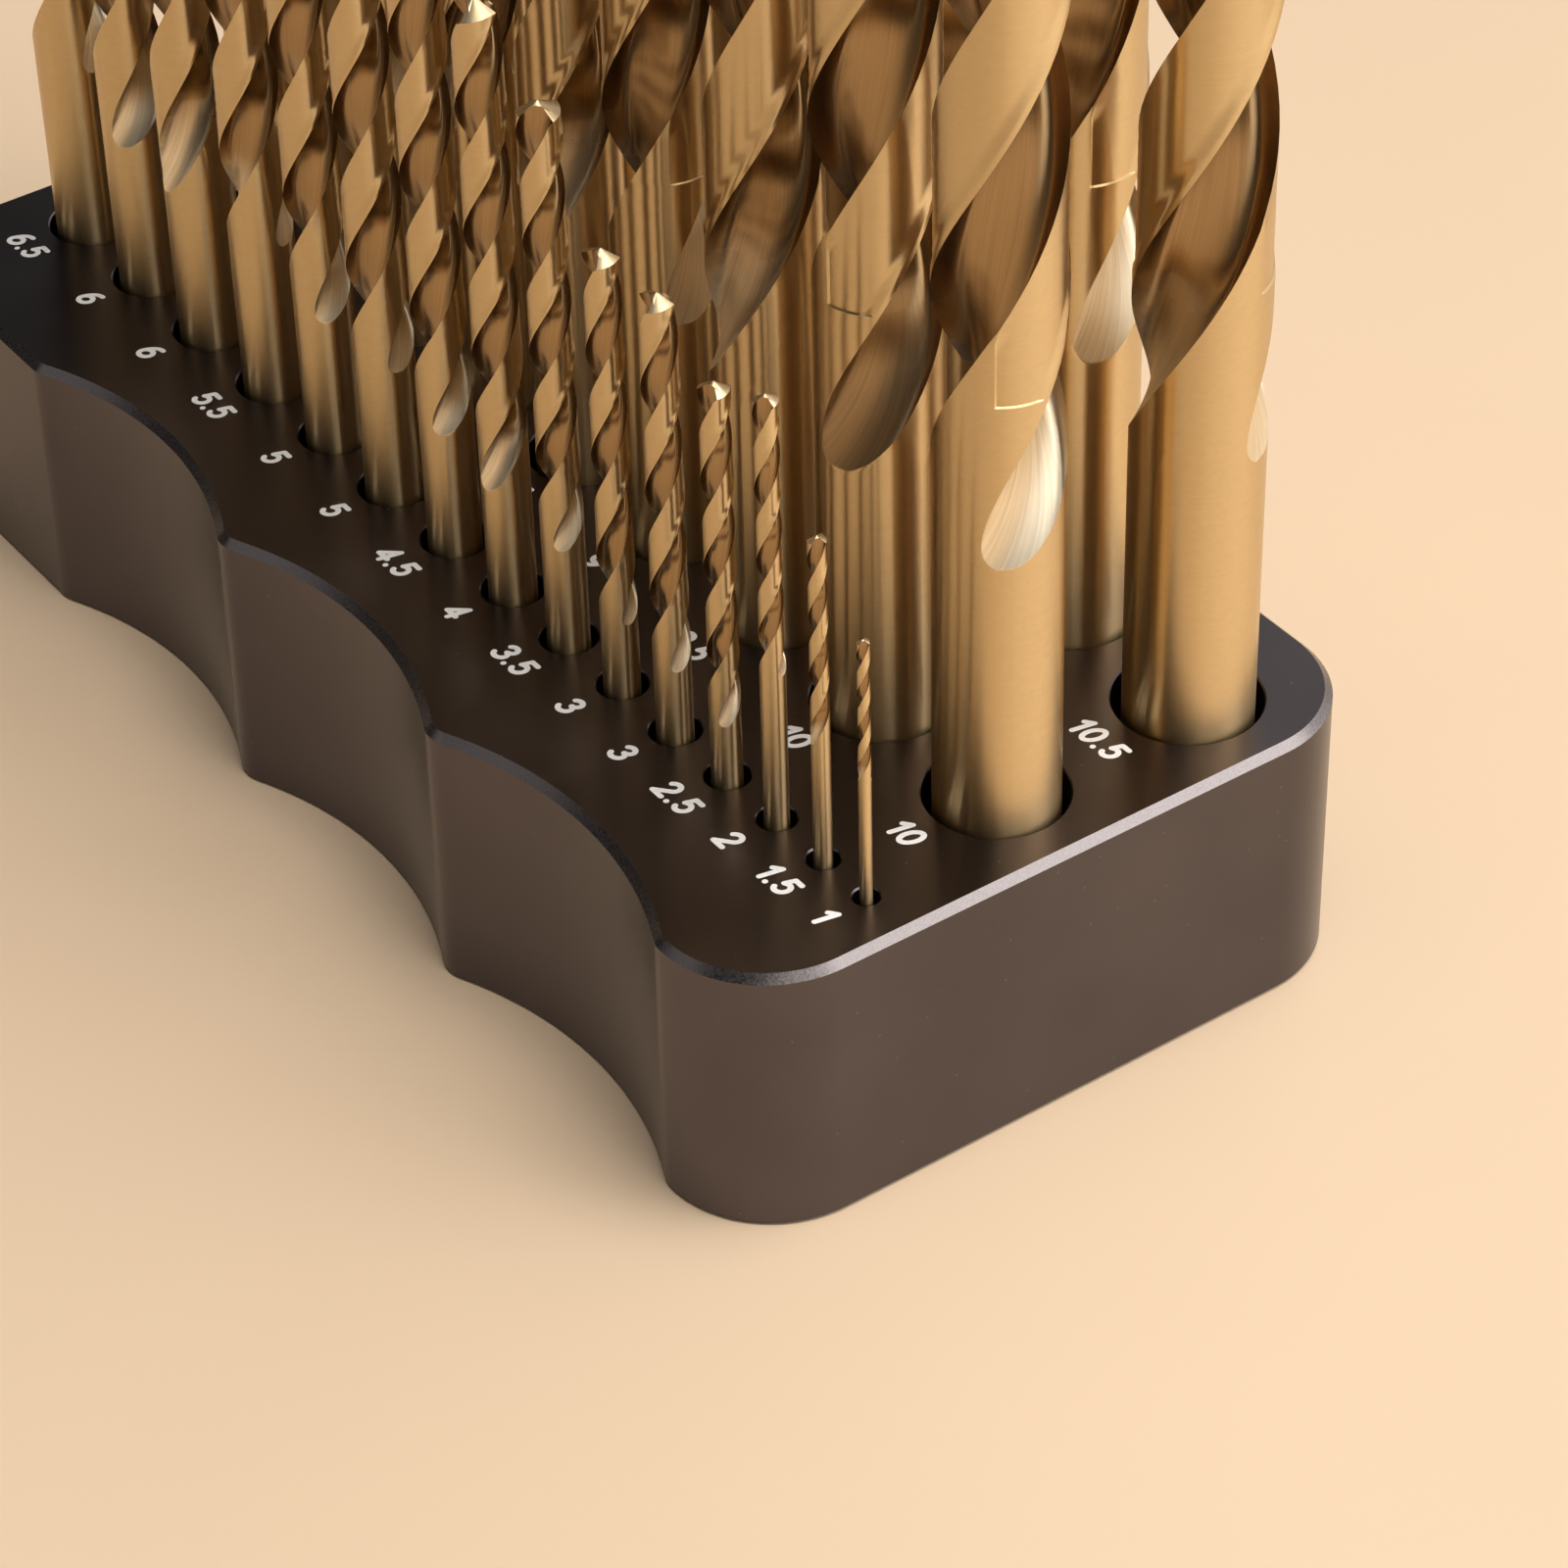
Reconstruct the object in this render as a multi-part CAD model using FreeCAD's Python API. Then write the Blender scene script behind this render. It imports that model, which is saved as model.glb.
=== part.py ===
"""Drill bit stand: a scalloped block with three rows of blind holes and a loose twist drill in each.

Millimetres, +Z up. The origin is the centre of the block's underside. +X runs along the rows towards the
end with the smallest drill, and +Y runs from the wavy front side to the straight back side.
"""

import FreeCAD, Part
import math
import os

# The block, which is as long as its front row needs
BLOCK_WIDTH = 62.0
BLOCK_HEIGHT = 25.0
CORNER_RADIUS = 9.75
TOP_CHAMFER = 0.65

# The wavy front side: hollow arcs between rounded cusps, starting where the end's corner stops
SCALLOP_COUNT = 3
SCALLOP_PITCH = 31.85
SCALLOP_RADIUS = 34.0
CUSP_RADIUS = 3.0

# The holes: each is a little wider than its drill, with the same web of metal between neighbours
HOLE_CLEARANCE = 1.1
HOLE_CLEARANCE_PER_MM = 0.05
HOLE_WEB = 3.1
DEEP_HOLE = 20.0
SHALLOW_HOLE = 9.5
SHALLOW_UP_TO = 2.0

# How each drill leans in its hole: share of the clearance, and direction in degrees about +Z from +X
REST_SHARE = 0.75
REST_DIRECTION = -34.5

# The rows: distance of each behind the front side, metal left between the end face and its first hole, and
# metal left beyond the front row's last hole
FRONT_ROW_INSET = 15.5
MIDDLE_ROW_INSET = 30.9
BACK_ROW_INSET = 49.9
FRONT_ROW_MARGIN = 3.95
MIDDLE_ROW_MARGIN = 3.4
BACK_ROW_MARGIN = 3.4
FAR_END_MARGIN = 4.2

# Drills from the end with the smallest one: diameter, and how it happens to be turned in its hole (degrees
# about +Z from +X to the middle of a flute where the flute begins)
FRONT_ROW = [
    (1, 50), (1.5, 65), (2, 15), (2.5, -37), (3, -15), (3, 1), (3.5, -36), (4, -83),
    (4.5, -38), (5, -2), (5, -25), (5.5, 20), (6, 75), (6, -50), (6.5, 10),
]
MIDDLE_ROW = [(10, -30), (10, -73), (9.5, 40), (9, -15), (8.5, 70), (8, 25), (8, -60), (7.5, 5), (7, 80)]
BACK_ROW = [(10.5, 26), (11, -14), (11.5, 60), (12, -40), (12, 15), (12.5, 85), (13, -5)]

# Jobber drills: largest diameter that has an overall length, that length, and the flute length with it
JOBBER_LENGTHS = [
    (1.06, 34, 12), (1.5, 40, 18), (2.12, 49, 24), (2.65, 57, 30), (3, 61, 33), (3.75, 70, 39),
    (4.25, 75, 43), (4.75, 80, 47), (5.3, 86, 52), (6, 93, 57), (6.7, 101, 63), (7.5, 109, 69),
    (8.5, 117, 75), (9.5, 125, 81), (10.6, 133, 87), (11.8, 142, 94), (13.2, 151, 101),
    (14, 160, 108), (15, 169, 114),
]

# Helix angle of the flutes up to each diameter
HELIX_ANGLES = [(1.6, 24.5), (2.2, 25.5), (3.2, 26.5), (15, 29.5)]

# The flutes: point, the core's points as shares of the radius (two across the floor of a flute, or one in
# a thin drill's vee), and how far the run-outs reach past the flute length
POINT_ANGLE = 135.0
RAKE_SIDE_SHARE = 0.27
HEEL_SIDE_SHARE = 0.38
VEE_SHARE = 0.28
RUN_OUT_PAST_FLUTE = 1.2

# The fluted body is cut from a prism: its sides by the drill's size, and the sides that make up a land
FINER_FROM = 5.25
FINER_SIDE_COUNT = 12
COARSER_SIDE_COUNT = 10
LAND_SIDE_COUNT = 2

# From this diameter up, the flutes have a floor, and the prism stands just inside a round shank
THICK_FROM = 7.0
PRISM_SHARE = 0.99


def vector(x, y, z=0.0):
    return FreeCAD.Vector(x, y, z)


def polar(centre, radius, angle):
    return centre + vector(radius * math.cos(angle), radius * math.sin(angle))


def arc(centre, radius, start, end):
    """Circular arc in the XY plane from one angle to another, in radians."""
    middle = (start + end) / 2
    points = [polar(centre, radius, angle) for angle in (start, middle, end)]
    return Part.Arc(*points).toShape()


def block_outline():
    """Plan of the block: rounded corners, straight back and ends, and the scalloped front side."""
    half_length = block_length() / 2
    half_width = BLOCK_WIDTH / 2
    corner_x = half_length - CORNER_RADIUS
    corner_y = half_width - CORNER_RADIUS
    quarter = math.pi / 2
    cusp_y = CUSP_RADIUS - half_width
    reach = SCALLOP_RADIUS + CUSP_RADIUS
    lean = math.asin(SCALLOP_PITCH / 2 / reach)
    scallop_y = cusp_y - reach * math.cos(lean)

    edges = [
        arc(vector(corner_x, corner_y), CORNER_RADIUS, 0, quarter),
        Part.makeLine(vector(corner_x, half_width), vector(-corner_x, half_width)),
        arc(vector(-corner_x, corner_y), CORNER_RADIUS, quarter, 2 * quarter),
        Part.makeLine(vector(-half_length, corner_y), vector(-half_length, -corner_y)),
        arc(vector(-corner_x, -corner_y), CORNER_RADIUS, 2 * quarter, 3 * quarter),
    ]
    last_cusp_x = corner_x - SCALLOP_COUNT * SCALLOP_PITCH
    edges.append(Part.makeLine(vector(-corner_x, -half_width), vector(last_cusp_x, -half_width)))
    for number in reversed(range(SCALLOP_COUNT + 1)):
        cusp = vector(corner_x - number * SCALLOP_PITCH, cusp_y)
        first = lean if number < SCALLOP_COUNT else 0
        last = lean if number > 0 else 0
        edges.append(arc(cusp, CUSP_RADIUS, -quarter - first, -quarter + last))
        if number > 0:
            hollow = vector(cusp.x + SCALLOP_PITCH / 2, scallop_y)
            edges.append(arc(hollow, SCALLOP_RADIUS, quarter + lean, quarter - lean))
    edges.append(arc(vector(corner_x, -corner_y), CORNER_RADIUS, -quarter, 0))
    edges.append(Part.makeLine(vector(half_length, -corner_y), vector(half_length, corner_y)))
    return Part.Wire(edges)


def block_length():
    holes = sum(hole_diameter(diameter) for diameter, turn in FRONT_ROW)
    return FRONT_ROW_MARGIN + holes + HOLE_WEB * (len(FRONT_ROW) - 1) + FAR_END_MARGIN


def hole_diameter(diameter):
    return diameter * (1 + HOLE_CLEARANCE_PER_MM) + HOLE_CLEARANCE


def rest_offset(diameter):
    """Where a drill's axis stands, seen from the centre of its hole."""
    clearance = (hole_diameter(diameter) - diameter) / 2
    return polar(vector(0, 0), REST_SHARE * clearance, math.radians(REST_DIRECTION))


def hole_depth(diameter):
    return SHALLOW_HOLE if diameter <= SHALLOW_UP_TO else DEEP_HOLE


def block():
    """The machined block: chamfered outline with every row's flat-bottomed holes bored from the top."""
    base = Part.Face(block_outline())
    solid = base.extrude(vector(0, 0, BLOCK_HEIGHT))
    top_edges = [edge for edge in solid.Edges if edge.BoundBox.ZMin > BLOCK_HEIGHT / 2]
    solid = solid.makeChamfer(TOP_CHAMFER, top_edges)
    holes = []
    for diameter, turn, x, y in places():
        depth = hole_depth(diameter)
        foot = vector(x, y, BLOCK_HEIGHT - depth)
        holes.append(Part.makeCylinder(hole_diameter(diameter) / 2, depth + TOP_CHAMFER, foot))
    return solid.cut(Part.makeCompound(holes))


def places():
    """Diameter, turn and place of every drill, row by row from the end with the smallest one."""
    rows = [
        (FRONT_ROW, FRONT_ROW_INSET, FRONT_ROW_MARGIN),
        (MIDDLE_ROW, MIDDLE_ROW_INSET, MIDDLE_ROW_MARGIN),
        (BACK_ROW, BACK_ROW_INSET, BACK_ROW_MARGIN),
    ]
    found = []
    for drills, inset, margin in rows:
        rim = block_length() / 2 - margin
        for diameter, turn in drills:
            x = rim - hole_diameter(diameter) / 2
            found.append((diameter, turn, x, inset - BLOCK_WIDTH / 2))
            rim = x - hole_diameter(diameter) / 2 - HOLE_WEB
    return found


def side_count(diameter):
    return FINER_SIDE_COUNT if diameter >= FINER_FROM else COARSER_SIDE_COUNT


def helix_angle(diameter):
    return next(angle for largest, angle in HELIX_ANGLES if diameter <= largest)


def fluted_body(diameter, turn, start, tip):
    """Two-flute body, from its run-outs at height start to its point at height tip.

    The lands are staves of the prism, each a planar face that rises along one of its sides. The flutes are
    strips of facets between the lands and the lines of core points, which turn on with the helix.
    """
    thick = diameter >= THICK_FROM
    radius = diameter / 2 * (PRISM_SHARE if thick else 1)
    sides, land = side_count(diameter), LAND_SIDE_COUNT
    half = sides // 2
    flute = half - land
    cone_slope = 1 / math.tan(math.radians(POINT_ANGLE / 2))
    shoulder = tip - radius * cone_slope
    lead = math.pi * diameter / math.tan(math.radians(helix_angle(diameter)))
    core_rings = round((shoulder - start) / lead * sides / land)
    rings = core_rings * land
    rise = (shoulder - start) / rings

    def rim(side, ring):
        swing = math.radians(turn) + 2 * math.pi * (side - flute / 2) / sides
        return polar(vector(0, 0, start + rise * ring), radius, swing)

    def core(side, ring, share):
        height = min(start + rise * ring, tip)
        if ring == rings:
            height = tip - share * radius * cone_slope
        swing = math.radians(turn) + 2 * math.pi * (side + (height - start) / rise) / sides
        return polar(vector(0, 0, height), radius * share, swing)

    core_line = [(0, VEE_SHARE)]
    if thick:
        core_line = [(-flute / 6, RAKE_SIDE_SHARE), (flute / 6, HEEL_SIDE_SHARE)]

    faces = [planar([rim(side, 0) for side in range(sides)])]
    crown = []
    for first in (0, half):
        mouth = [rim(first + side, 0) for side in range(1, flute)]
        lines = []
        for offset, share in core_line:
            lines.append([core(first + offset, land * number, share) for number in range(1, core_rings + 1)])
        before = [rim(first + ring, ring) for ring in range(rings + 1)]
        after = [rim(first + flute + ring, ring) for ring in range(rings + 1)]
        faces += strip([line[0] for line in lines], mouth)
        faces += strip(before, mouth[:1] + lines[0])
        faces += strip(mouth[-1:] + lines[-1], after)
        for left, right in zip(lines, lines[1:]):
            faces += strip(left, right)
        for side in range(rings + land):
            left_side = first + flute + side
            stave = [rim(left_side, max(0, side - land)), rim(left_side + 1, max(0, side + 1 - land))]
            stave += [rim(left_side + 1, min(rings, side + 1)), rim(left_side, min(rings, side))]
            faces.append(planar(stave))
        crown += [line[-1] for line in lines]
        crown += [rim(first + flute + rings + side, rings) for side in range(land + 1)]
    apex = vector(0, 0, tip)
    for number, point in enumerate(crown):
        faces.append(planar([crown[number - 1], point, apex]))
    return Part.Solid(Part.Shell(faces))


def strip(left, right):
    """Facets between two rising lines of points, seen from outside, stepping up both in even turns."""
    faces = []
    lower = upper = 0
    while lower < len(left) - 1 or upper < len(right) - 1:
        climb_left = (2 * lower + 1) * (len(right) - 1) < (2 * upper + 1) * (len(left) - 1)
        if climb_left:
            faces.append(planar([left[lower], right[upper], left[lower + 1]]))
            lower += 1
        else:
            faces.append(planar([left[lower], right[upper], right[upper + 1]]))
            upper += 1
    return faces


def planar(points):
    """Planar face through points in order, of which neighbours may coincide."""
    corners = [point for number, point in enumerate(points) if not point.isEqual(points[number - 1], 1e-6)]
    return Part.Face(Part.makePolygon(corners + corners[:1]))


def drill(diameter, turn):
    """Twist drill standing on its shank at the origin, point up."""
    length, flute_length = next(sizes[1:] for sizes in JOBBER_LENGTHS if diameter <= sizes[0])
    start = length - flute_length - RUN_OUT_PAST_FLUTE
    body = fluted_body(diameter, turn, start, length)
    if diameter >= THICK_FROM:
        return Part.makeCylinder(diameter / 2, start).fuse(body)
    return body.Faces[0].extrude(vector(0, 0, -start)).fuse(body).removeSplitter()


def drill_names():
    """One name for each place, such as drill_2_5mm, with a letter where a size stands twice."""
    sizes = [diameter for diameter, turn, x, y in places()]
    names = []
    for number, size in enumerate(sizes):
        name = "drill_" + f"{size:g}".replace(".", "_") + "mm"
        if sizes.count(size) > 1:
            name += "_a" if size not in sizes[:number] else "_b"
        names.append(name)
    return names


def main():
    os.makedirs("parts", exist_ok=True)
    block().exportStep("parts/block.step")
    for name, (diameter, turn, x, y) in zip(drill_names(), places()):
        solid = drill(diameter, turn)
        foot = vector(x, y, BLOCK_HEIGHT - hole_depth(diameter))
        solid.translate(foot + rest_offset(diameter))
        solid.exportStep(f"parts/{name}.step")


main()
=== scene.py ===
"""Looks of the drill bit stand: dark coated block, straw-coloured twist drills, size numbers and studio."""

import math

import bpy
from mathutils import Matrix, Vector, geometry


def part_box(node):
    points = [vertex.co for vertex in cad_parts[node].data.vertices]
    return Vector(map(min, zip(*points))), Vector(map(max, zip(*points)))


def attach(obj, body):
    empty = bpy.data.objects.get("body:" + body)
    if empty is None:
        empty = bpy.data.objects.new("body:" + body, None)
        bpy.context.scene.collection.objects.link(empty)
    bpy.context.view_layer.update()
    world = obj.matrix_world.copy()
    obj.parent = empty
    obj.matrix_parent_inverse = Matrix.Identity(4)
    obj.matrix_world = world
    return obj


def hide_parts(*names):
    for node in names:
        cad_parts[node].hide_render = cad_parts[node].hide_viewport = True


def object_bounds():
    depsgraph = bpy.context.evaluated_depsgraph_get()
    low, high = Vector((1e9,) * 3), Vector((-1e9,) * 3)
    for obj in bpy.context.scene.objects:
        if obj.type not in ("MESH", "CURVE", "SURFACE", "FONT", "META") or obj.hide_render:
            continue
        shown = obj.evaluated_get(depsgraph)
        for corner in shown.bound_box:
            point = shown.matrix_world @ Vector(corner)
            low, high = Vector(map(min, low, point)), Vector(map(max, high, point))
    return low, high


bl_info = {
    "name": "Drill Bit Stand",
    "version": (1, 0, 0),
    "blender": (4, 5, 0),
    "location": "3D View > Sidebar > Drill Stand",
    "description": "Builds a scalloped drill bit stand with its graded twist drills",
    "category": "Object",
}

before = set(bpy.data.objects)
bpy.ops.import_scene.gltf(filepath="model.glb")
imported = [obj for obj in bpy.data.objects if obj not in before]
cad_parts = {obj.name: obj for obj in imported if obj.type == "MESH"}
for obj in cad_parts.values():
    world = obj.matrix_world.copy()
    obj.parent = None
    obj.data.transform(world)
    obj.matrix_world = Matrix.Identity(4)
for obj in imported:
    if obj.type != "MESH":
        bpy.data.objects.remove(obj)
CAD_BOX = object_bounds()

MM = 0.001

# Distance in metres within which points of a flat mesh become one
MERGED = 1e-9

BLOCK_LOW, BLOCK_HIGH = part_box("block")

# How each drill happens to be turned in its hole: degrees about +Z from +X to the middle of the flute
# where the flute begins
DRILL_TURNS = {
    "drill_1mm": 50, "drill_1_5mm": 65, "drill_2mm": 15, "drill_2_5mm": -37, "drill_3mm_a": -15,
    "drill_3mm_b": 1, "drill_3_5mm": -36, "drill_4mm": -83, "drill_4_5mm": -38, "drill_5mm_a": -2,
    "drill_5mm_b": -25, "drill_5_5mm": 20, "drill_6mm_a": 75, "drill_6mm_b": -50, "drill_6_5mm": 10,
    "drill_10mm_a": -30, "drill_10mm_b": -73, "drill_9_5mm": 40, "drill_9mm": -15, "drill_8_5mm": 70,
    "drill_8mm_a": 25, "drill_8mm_b": -60, "drill_7_5mm": 5, "drill_7mm": 80, "drill_10_5mm": 26,
    "drill_11mm": -14, "drill_11_5mm": 60, "drill_12mm_a": -40, "drill_12mm_b": 15, "drill_12_5mm": 85,
    "drill_13mm": -5,
}

# Share of the painted highlight on each drill's run-outs, lowered to paint shade where a run-out faces dark
# surroundings or is shaded by its neighbours
RUN_OUT_HIGHLIGHT_SHARES = {"drill_10mm_b": 0.1, "drill_11mm": 0.8}

# Helix angle of the flutes in degrees, up to each diameter in millimetres
HELIX_ANGLES = ((1.6, 24.5), (2.2, 25.5), (3.2, 26.5), (15, 29.5))

# Flute length that goes with each overall length of a jobber drill, in millimetres
FLUTE_LENGTHS = {
    34: 12, 40: 18, 49: 24, 57: 30, 61: 33, 70: 39, 75: 43, 80: 47, 86: 52, 93: 57,
    101: 63, 109: 69, 117: 75, 125: 81, 133: 87, 142: 94, 151: 101,
}


def length_property(name, description, millimetres):
    return bpy.props.FloatProperty(
        name=name, description=description, default=millimetres * MM, min=0.0, unit="LENGTH", precision=5
    )


def share_property(name, description, default):
    return bpy.props.FloatProperty(
        name=name, description=description, default=default, min=0.0, max=1.0, subtype="FACTOR"
    )


def angle_property(name, description, degrees):
    return bpy.props.FloatProperty(
        name=name, description=description, default=math.radians(degrees), subtype="ANGLE"
    )


def colour_property(name, description, default):
    return bpy.props.FloatVectorProperty(
        name=name, description=description, default=default, size=3, min=0.0, max=1.0, subtype="COLOR"
    )


class BlockSettings(bpy.types.PropertyGroup):
    corner_radius: length_property("Corner radius", "Radius of the block's corners in plan", 9.75)
    top_chamfer: length_property("Top chamfer", "Width of the bevel around the top", 0.65)
    base_break: length_property("Base edge break", "Width of the small bevel around the base", 0.3)
    scallop_count: bpy.props.IntProperty(name="Scallops", description="Hollows along the front", default=3)
    scallop_pitch: length_property("Scallop pitch", "Distance from cusp to cusp", 31.85)
    scallop_radius: length_property("Scallop radius", "Radius of each hollow", 34.0)
    cusp_radius: length_property("Cusp radius", "Radius of the ridges between hollows", 3.0)
    hole_clearance: length_property("Hole clearance", "Fixed part of a hole's clearance", 1.1)
    hole_clearance_share: share_property("Clearance share", "Clearance that grows with the size", 0.05)
    rest_share: share_property("Rest", "Share of the clearance by which drills stand off centre", 0.75)
    rest_direction: angle_property("Rest direction", "Where the drills stand, about +Z from +X", -34.5)
    rim_break: length_property("Rim break", "Edge break around each hole", 0.12)
    coating: colour_property("Coating", "Dark coating of the block", (0.108, 0.094, 0.100))
    bevel: colour_property("Bevel", "Cut bevel around the top", (0.20, 0.18, 0.18))


class DrillSettings(bpy.types.PropertyGroup):
    point_angle: angle_property("Point angle", "Included angle of the ground point", 135.0)
    run_out_past: length_property("Run-out past flute", "Run-out beyond the flute length", 1.0)
    run_out_length: bpy.props.FloatProperty(
        name="Run-out length", description="Length over which a flute deepens, in diameters", default=2.1
    )
    bite: share_property("Bite", "Depth of a run-out's rounded end as a share of the radius", 0.006)
    step_height: bpy.props.FloatProperty(
        name="Clearance step", description="Start of the land's clearance, in diameters", default=1.44
    )
    step_direction: angle_property("Step direction", "Start of the clearance, from a flute's middle", 75.0)
    margin: share_property("Margin", "Width of the raised margin as a share of the diameter", 0.10)
    clearance: share_property("Clearance", "Depth behind the margin as a share of the radius", 0.035)
    steel: colour_property("Steel", "Straw-coloured oxide on the ground steel", (0.70, 0.515, 0.275))
    # The flutes' colour, darker than the shank's, is painted shade in the hollows of the flutes.
    flute: colour_property("Flute", "Bronze tone inside the flutes", (0.36, 0.235, 0.115))
    # The pale run-out colour is a painted highlight that stands in for the bright light the run-outs
    # reflect.
    run_out_highlight: colour_property("Fresh grinding", "Pale run-outs of the flutes", (0.93, 0.80, 0.61))
    point: colour_property("Ground points", "Colour of the points", (0.72, 0.57, 0.36))


class NumberSettings(bpy.types.PropertyGroup):
    cap_height: length_property("Digit height", "Height of the digits", 2.4)
    stroke: length_property("Stroke", "Width of the digits' strokes", 0.48)
    spacing: share_property("Spacing", "Gap between digits as a share of the stroke", 0.45)
    distance: length_property("Distance", "From a hole's edge to the middle of its number", 2.8)
    slant: bpy.props.FloatProperty(name="Slant", description="Forward slant of the digits", default=0.20)
    paint: colour_property("Paint", "White filling of the digits", (0.95, 0.95, 0.95))


# Bright patches of the room, a low window to the right of the camera and the wall behind the stand: the
# direction of each from the block, and how far a direction has to agree with it for the patch to begin
# and to be full
WINDOW = (0.80, 0.58, 0.12), 0.30, 0.90
WALL = (-0.35, 0.80, 0.48), 0.80, 0.96

# Faint light of the rest of the room, at the horizon and from a height upwards
ROOM_LOW, ROOM_HIGH, ROOM_HEIGHT = 0.07, 0.025, 0.45
ROOM_COLOUR = (1.0, 0.97, 0.93, 1.0)

# Soft lamps: share of the key light's power, size, place, target and colour
LAMPS = {
    "key_light": (1.0, 0.8, (0.30, 0.05, 1.2), (0.02, 0.0, 0.05), (1.0, 0.96, 0.90)),
    "side_light": (0.20, 0.55, (0.62, 0.52, 0.62), (0.02, 0.0, 0.03), (1.0, 0.98, 0.96)),
    "fill_light": (0.04, 0.6, (-0.35, -0.85, 0.75), (0.0, 0.0, 0.05), (1.0, 0.97, 0.94)),
}

# The photograph's viewpoint: azimuth, elevation and roll in degrees, and the point looked at and its
# distance in millimetres
CAMERA_ANGLES = (55.482, 38.942, -1.517)
CAMERA_TARGET, CAMERA_DISTANCE = (45.41, -12.68, 25.0), 396.13

# The floor's half width, and its gap under the block, in metres
FLOOR_REACH, FLOOR_GAP = 3.0, 0.00005


class StudioSettings(bpy.types.PropertyGroup):
    floor: colour_property("Floor", "Pale floor", (0.785, 0.597, 0.418))
    focal_length: bpy.props.FloatProperty(
        name="Focal length", description="Camera's focal length", default=118.35, unit="CAMERA"
    )
    key_power: bpy.props.FloatProperty(
        name="Key light", description="Power in watts", default=11.0, unit="POWER"
    )
    window: bpy.props.FloatProperty(name="Window", description="Brightness of the window", default=1.6)
    wall: bpy.props.FloatProperty(name="Wall", description="Brightness of the wall", default=0.9)


def finish_mesh(name, verts, faces, materials, slots, sharp=30.0, uvs=None):
    """Mesh object from points in metres, with material slots for its faces and sharp edges by angle."""
    mesh = bpy.data.meshes.new(name)
    mesh.from_pydata(verts, [], faces)
    for material in materials:
        mesh.materials.append(material)
    mesh.polygons.foreach_set("material_index", slots)
    mesh.polygons.foreach_set("use_smooth", [True] * len(faces))
    if uvs:
        layer = mesh.uv_layers.new(name="UVMap")
        for loop in mesh.loops:
            layer.data[loop.index].uv = uvs[loop.vertex_index]
    mesh.update()
    mesh.set_sharp_from_angle(angle=math.radians(sharp))
    if mesh.validate():
        raise RuntimeError(f"{name} has broken faces")
    piece = bpy.data.objects.new(name, mesh)
    bpy.context.scene.collection.objects.link(piece)
    return piece


def ring_strip(lower, upper):
    """Quads between two closed rings of vertex numbers of equal length."""
    count = len(lower)
    return [(lower[i], lower[(i + 1) % count], upper[(i + 1) % count], upper[i]) for i in range(count)]


class NodeSheet:
    """Adds and links nodes in one node tree."""

    def __init__(self, tree):
        self.tree = tree
        tree.nodes.clear()

    def add(self, kind, inputs=None, **settings):
        node = self.tree.nodes.new(kind)
        for key, value in settings.items():
            setattr(node, key, value)
        for key, value in (inputs or {}).items():
            self.feed(node.inputs[key], value)
        return node

    def feed(self, socket, value):
        """Links a node's output to a socket, or gives the socket a value of its own."""
        if isinstance(value, bpy.types.NodeSocket):
            self.tree.links.new(value, socket)
        else:
            socket.default_value = value

    def math(self, operation, first, second):
        return self.add("ShaderNodeMath", {0: first, 1: second}, operation=operation).outputs[0]

    def ramp(self, value, low, high, low_out=0.0, high_out=1.0):
        node = self.add("ShaderNodeMapRange", {0: value, 1: low, 2: high, 3: low_out, 4: high_out})
        return node.outputs[0]

    def mix(self, factor, first, second):
        node = self.add("ShaderNodeMix", data_type="RGBA")
        self.feed(node.inputs[0], factor)
        for number, colour in ((6, first), (7, second)):
            plain = not isinstance(colour, bpy.types.NodeSocket)
            self.feed(node.inputs[number], (*colour, 1.0) if plain else colour)
        return node.outputs[2]


def new_group(name, inputs, outputs):
    """Empty shader group with inputs (name, kind, default) and outputs (name, kind)."""
    tree = bpy.data.node_groups.new(name, "ShaderNodeTree")
    sheet = NodeSheet(tree)
    for label, kind, default in inputs:
        socket = tree.interface.new_socket(name=label, in_out="INPUT", socket_type=kind)
        if default is not None:
            socket.default_value = default
    for label, kind in outputs:
        tree.interface.new_socket(name=label, in_out="OUTPUT", socket_type=kind)
    return sheet, sheet.add("NodeGroupInput").outputs, sheet.add("NodeGroupOutput").inputs


def speck_group():
    """Small scattered specks, such as dust or pits: a mask from a coordinate."""
    name = "Specks"
    if name in bpy.data.node_groups:
        return bpy.data.node_groups[name]
    inputs = [
        ("Vector", "NodeSocketVector", None), ("Scale", "NodeSocketFloat", 900.0),
        ("Share", "NodeSocketFloat", 0.1),
    ]
    sheet, given, wanted = new_group(name, inputs, [("Mask", "NodeSocketFloat")])
    layout = {"Vector": given["Vector"], "Scale": given["Scale"]}
    cells = sheet.add("ShaderNodeTexVoronoi", layout, feature="F1")
    chance = sheet.add("ShaderNodeSeparateColor", {0: cells.outputs["Color"]}).outputs[0]
    chosen = sheet.math("LESS_THAN", chance, given["Share"])
    dot = sheet.ramp(cells.outputs["Distance"], 0.30, 0.12)
    sheet.tree.links.new(sheet.math("MULTIPLY", chosen, dot), wanted["Mask"])
    return sheet.tree


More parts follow.
